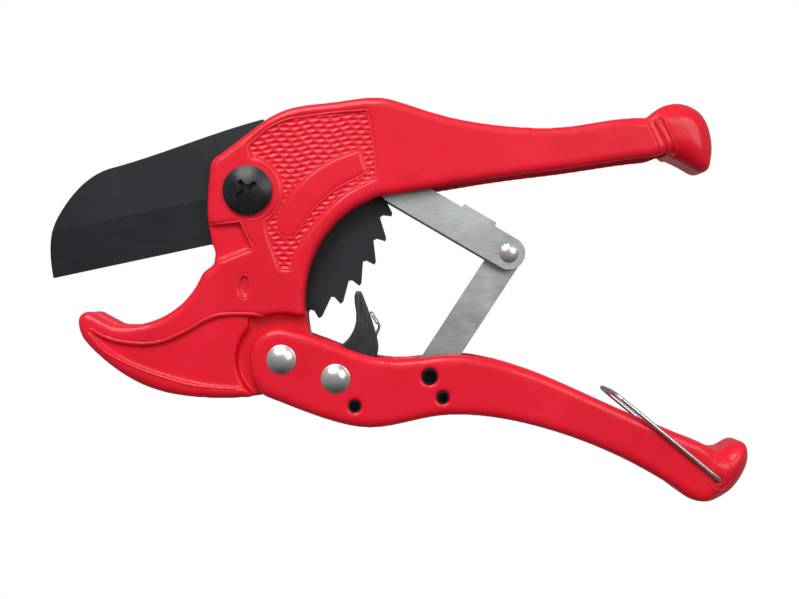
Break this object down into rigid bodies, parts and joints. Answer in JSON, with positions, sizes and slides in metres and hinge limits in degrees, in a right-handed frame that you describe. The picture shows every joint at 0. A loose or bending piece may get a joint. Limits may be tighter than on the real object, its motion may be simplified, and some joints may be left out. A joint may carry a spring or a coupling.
{
  "type": "ratchet pipe cutter",
  "caption": "Hand ratchet cutter for plastic pipe: red die-cast frame with hooked jaw, swinging blade with toothed tail, squeeze handle with pawl, knee linkage and a wire lock bail.",
  "frame": {"origin": "centre of the blade pivot, in the middle of the blade's thickness", "axes": "+X towards the handles, +Z towards the upper handle, -Y out of the front face with the screw head"},
  "size_m": [0.2197, 0.0243, 0.1255],
  "materials": {
    "red_paint": "gloss red paint over a die casting",
    "blade_coating": "satin black non-stick coating on ground steel",
    "sheet_steel": "satin plated sheet steel",
    "nickel": "bright nickel plate",
    "black_oxide": "black oxide steel",
    "spring_steel": "bright drawn spring wire",
    "pin_steel": "plain steel roll pin",
    "bush_bronze": "sintered bronze"
  },
  "bodies": {
    "frame": {"frame_casting": "red_paint", "blade_screw": "black_oxide", "blade_bush": "bush_bronze", "blade_shims": "sheet_steel", "nut_washer": "sheet_steel", "blade_lock_nut": "nickel", "upper_link_pin": "pin_steel"},
    "blade": {"blade": "blade_coating"},
    "handle": {"lower_handle": "red_paint", "handle_rivet": "nickel", "handle_thrust_washers": "sheet_steel", "pawl_rivet": "nickel", "pawl_spring_pin": "pin_steel", "lower_link_pin": "pin_steel", "spring_anchor_pin": "pin_steel", "opening_spring": "spring_steel"},
    "pawl_carrier": {"pawl_spring": "spring_steel"},
    "pawl": {"pawl": "black_oxide"},
    "upper_link": {"upper_link": "sheet_steel", "knee_rivet": "nickel", "knee_spacers": "sheet_steel"},
    "lower_link": {"lower_link": "sheet_steel"},
    "bail": {"lock_bail": "spring_steel"}
  },
  "joints": [
    {"name": "blade_swing", "type": "hinge", "parent": "frame", "child": "blade", "pos_m": [0, 0, 0], "axis": [0, -1, 0], "range_deg": [-42, 31.5]},
    {"name": "handle_squeeze", "type": "hinge", "parent": "frame", "child": "handle", "pos_m": [0.0105, 0, -0.0522], "axis": [0, -1, 0], "range_deg": [0, 32]},
    {"name": "upper_link_swing", "type": "hinge", "parent": "frame", "child": "upper_link", "pos_m": [0.051, 0, 0.004], "axis": [0, -1, 0], "range_deg": [0, 28]},
    {"name": "knee_fold", "type": "hinge", "parent": "upper_link", "child": "lower_link", "pos_m": [0.0812, 0, -0.0192], "axis": [0, -1, 0], "range_deg": [-46, 0], "deforming": ["opening_spring"]},
    {"name": "pawl_track", "type": "hinge", "parent": "handle", "child": "pawl_carrier", "pos_m": [0.0272, 0, -0.0581], "axis": [0, -1, 0], "range_deg": [-45, 0], "deforming": ["pawl_spring"]},
    {"name": "pawl_click", "type": "hinge", "parent": "pawl_carrier", "child": "pawl", "pos_m": [0.0272, 0, -0.0581], "axis": [0, -1, 0], "range_deg": [0, 5.8]},
    {"name": "bail_swing", "type": "hinge", "parent": "handle", "child": "bail", "pos_m": [0.1455, 0, -0.0893], "axis": [0, 1, 0], "range_deg": [0, 56]}
  ],
  "couplings": [
    {"joint": "upper_link_swing", "follows": "handle_squeeze", "ratio": 0.851},
    {"joint": "knee_fold", "follows": "handle_squeeze", "ratio": -1.413},
    {"joint": "pawl_track", "follows": "handle_squeeze", "ratio": -1.38}
  ]
}
